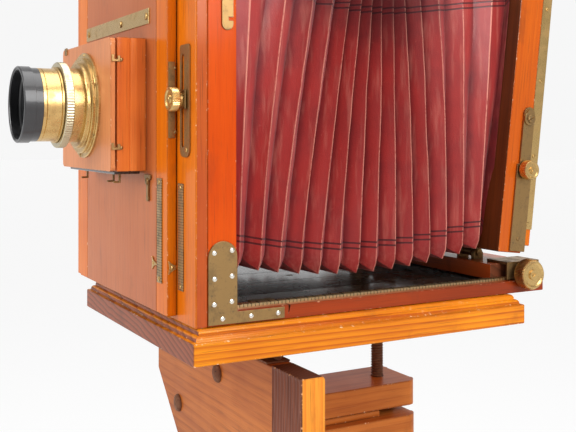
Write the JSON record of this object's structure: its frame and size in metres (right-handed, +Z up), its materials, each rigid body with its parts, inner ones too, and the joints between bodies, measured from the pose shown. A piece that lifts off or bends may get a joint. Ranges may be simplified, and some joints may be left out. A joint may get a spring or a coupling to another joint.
{
  "type": "plate camera on wooden stand",
  "caption": "Wooden plate camera with long leather bellows, double rising front, tilting back and rack focusing, on a tilting table and folding three-legged stand.",
  "frame": {"origin": "on the floor, at the middle of the footprint box of the whole stand and camera", "axes": "+Z up, the lens looks along -Y, +X to the side of the near focusing knob"},
  "size_m": [0.77, 0.6932, 1.3682],
  "materials": {
    "board_pine": "gloss varnish",
    "stand_pine": "satin",
    "mahogany": "gloss varnish",
    "dark_wood": "satin",
    "brass": "tarnished",
    "bright_brass": "lacquered",
    "rusty_iron": "rusty",
    "lens_black": "satin",
    "lens_glass": "polished",
    "screen_glass": "ground",
    "bellows_leather": "worn"
  },
  "bodies": {
    "stand": {"head_cheek": "stand_pine", "head_side_post": "stand_pine", "head_upper_arm": "stand_pine", "head_lower_arm": "stand_pine", "stand_crown": "stand_pine", "tilt_screw_nut": "rusty_iron", "head_coach_bolts": "rusty_iron", "leg_brackets": "rusty_iron", "cheek_hinge_leaves": "rusty_iron"},
    "table": {"table_board": "board_pine", "table_cleat": "stand_pine", "table_hinge_leaves": "rusty_iron"},
    "tilt_screw": {"tilt_screw": "rusty_iron"},
    "fixing_screw": {"fixing_screw": "brass"},
    "camera": {"front_frame": "mahogany", "body_frame": "mahogany", "bed_rails": "mahogany", "bed_panel": "dark_wood", "focus_racks": "brass", "body_brackets": "brass", "front_slot_plates": "brass", "bellows": "bellows_leather"},
    "outer_front": {"outer_rising_panel": "mahogany", "front_lugs": "brass"},
    "thumb_nut_right": {"thumb_nut_right": "bright_brass"},
    "thumb_nut_left": {"thumb_nut_left": "bright_brass"},
    "lens_panel": {"inner_rising_panel": "mahogany", "lens_box": "mahogany", "lens_box_fittings": "brass", "lens_board": "mahogany", "lens_flange": "bright_brass", "lens_barrel": "bright_brass", "lens_hood": "lens_black", "lens_glasses": "lens_glass"},
    "iris_ring": {"iris_ring": "brass"},
    "box_turn_latch": {"box_turn_latch": "brass"},
    "carriage": {"carriage_bar": "dark_wood", "carriage_brasses": "brass"},
    "focus_pinion": {"focus_pinion": "bright_brass"},
    "back": {"back_frame": "mahogany", "back_brasses": "brass", "screen_hinge_cups": "brass"},
    "lock_knob_right": {"lock_knob_right": "bright_brass"},
    "lock_knob_left": {"lock_knob_left": "bright_brass"},
    "screen": {"screen_frame": "mahogany", "ground_glass": "screen_glass", "screen_brasses": "brass"},
    "leg_front": {"leg_front_upper": "stand_pine"},
    "leg_front_foot": {"leg_front_lower": "stand_pine"},
    "leg_front_clamp": {"leg_front_clamp": "brass"},
    "leg_right": {"leg_right_upper": "stand_pine"},
    "leg_right_foot": {"leg_right_lower": "stand_pine"},
    "leg_right_clamp": {"leg_right_clamp": "brass"},
    "leg_left": {"leg_left_upper": "stand_pine"},
    "leg_left_foot": {"leg_left_lower": "stand_pine"},
    "leg_left_clamp": {"leg_left_clamp": "brass"}
  },
  "joints": [
    {"name": "leg_front_fold", "type": "hinge", "parent": "stand", "child": "leg_front", "pos_m": [0, 0.00439, 0.707], "axis": [1, 0, 0], "range_deg": [0, 24]},
    {"name": "leg_front_extend", "type": "slide", "parent": "leg_front", "child": "leg_front_foot", "axis": [0, -0.4357, -0.9001], "range_m": [0, 0.25]},
    {"name": "leg_front_clamp_turn", "type": "hinge", "parent": "leg_front", "child": "leg_front_clamp", "pos_m": [0, -0.23045, 0.22185], "axis": [0, 0.9001, -0.4357], "continuous": true},
    {"name": "leg_right_fold", "type": "hinge", "parent": "stand", "child": "leg_right", "pos_m": [0.07881, 0.14089, 0.707], "axis": [-0.5, 0.866, 0], "range_deg": [0, 24]},
    {"name": "leg_right_extend", "type": "slide", "parent": "leg_right", "child": "leg_right_foot", "axis": [0.3773, 0.2178, -0.9001], "range_m": [0, 0.25]},
    {"name": "leg_right_clamp_turn", "type": "hinge", "parent": "leg_right", "child": "leg_right_clamp", "pos_m": [0.28219, 0.25831, 0.22185], "axis": [-0.7795, -0.45, -0.4357], "continuous": true},
    {"name": "leg_left_fold", "type": "hinge", "parent": "stand", "child": "leg_left", "pos_m": [-0.07881, 0.14089, 0.707], "axis": [-0.5, -0.866, 0], "range_deg": [0, 24]},
    {"name": "leg_left_extend", "type": "slide", "parent": "leg_left", "child": "leg_left_foot", "axis": [-0.3773, 0.2178, -0.9001], "range_m": [0, 0.25]},
    {"name": "leg_left_clamp_turn", "type": "hinge", "parent": "leg_left", "child": "leg_left_clamp", "pos_m": [-0.28219, 0.25831, 0.22185], "axis": [0.7795, -0.45, -0.4357], "continuous": true},
    {"name": "table_tilt", "type": "hinge", "parent": "stand", "child": "table", "pos_m": [0, 0.01339, 0.909], "axis": [1, 0, 0], "range_deg": [-2, 10]},
    {"name": "tilt_screw_rise", "type": "slide", "parent": "stand", "child": "tilt_screw", "axis": [0, 0, 1], "range_m": [-0.009, 0.039]},
    {"name": "fixing_screw_turn", "type": "hinge", "parent": "table", "child": "fixing_screw", "pos_m": [0, 0.09539, 0.92], "axis": [0, 0, 1], "continuous": true},
    {"name": "camera_swivel", "type": "hinge", "parent": "table", "child": "camera", "pos_m": [0, 0.09539, 0.9623], "axis": [0, 0, 1], "continuous": true},
    {"name": "outer_front_rise", "type": "slide", "parent": "camera", "child": "outer_front", "axis": [0, 0, 1], "range_m": [0, 0.035]},
    {"name": "thumb_nut_right_turn", "type": "hinge", "parent": "outer_front", "child": "thumb_nut_right", "pos_m": [0.168, -0.12051, 1.176], "axis": [0, 1, 0], "continuous": true},
    {"name": "thumb_nut_left_turn", "type": "hinge", "parent": "outer_front", "child": "thumb_nut_left", "pos_m": [-0.168, -0.12051, 1.176], "axis": [0, 1, 0], "continuous": true},
    {"name": "lens_panel_rise", "type": "slide", "parent": "outer_front", "child": "lens_panel", "axis": [0, 0, 1], "range_m": [0, 0.035]},
    {"name": "iris_ring_turn", "type": "hinge", "parent": "lens_panel", "child": "iris_ring", "pos_m": [0, -0.17921, 1.174], "axis": [0, 1, 0], "range_deg": [-55, 55]},
    {"name": "box_latch_turn", "type": "hinge", "parent": "lens_panel", "child": "box_turn_latch", "pos_m": [0.098, -0.12261, 1.095], "axis": [0, 1, 0], "range_deg": [-90, 90]},
    {"name": "focus_slide", "type": "slide", "parent": "camera", "child": "carriage", "axis": [0, 1, 0], "range_m": [-0.25, 0.004], "deforming": ["bellows"]},
    {"name": "focus_pinion_turn", "type": "hinge", "parent": "carriage", "child": "focus_pinion", "pos_m": [0, 0.29239, 0.9842], "axis": [1, 0, 0], "continuous": true},
    {"name": "back_tilt", "type": "hinge", "parent": "carriage", "child": "back", "pos_m": [0, 0.27839, 1.002], "axis": [1, 0, 0], "range_deg": [-8, 10], "deforming": ["bellows"]},
    {"name": "lock_knob_right_turn", "type": "hinge", "parent": "back", "child": "lock_knob_right", "pos_m": [0.2005, 0.29268, 1.102], "axis": [1, 0, 0], "continuous": true},
    {"name": "lock_knob_left_turn", "type": "hinge", "parent": "back", "child": "lock_knob_left", "pos_m": [-0.2005, 0.29268, 1.102], "axis": [1, 0, 0], "continuous": true},
    {"name": "screen_fold", "type": "hinge", "parent": "back", "child": "screen", "pos_m": [0, 0.29975, 1.00945], "axis": [1, 0, 0], "range_deg": [-70, 0]}
  ],
  "couplings": [
    {"joint": "tilt_screw_rise", "follows": "table_tilt", "m_per_rad": 0.212},
    {"joint": "focus_pinion_turn", "follows": "focus_slide", "rad_per_m": -200}
  ]
}
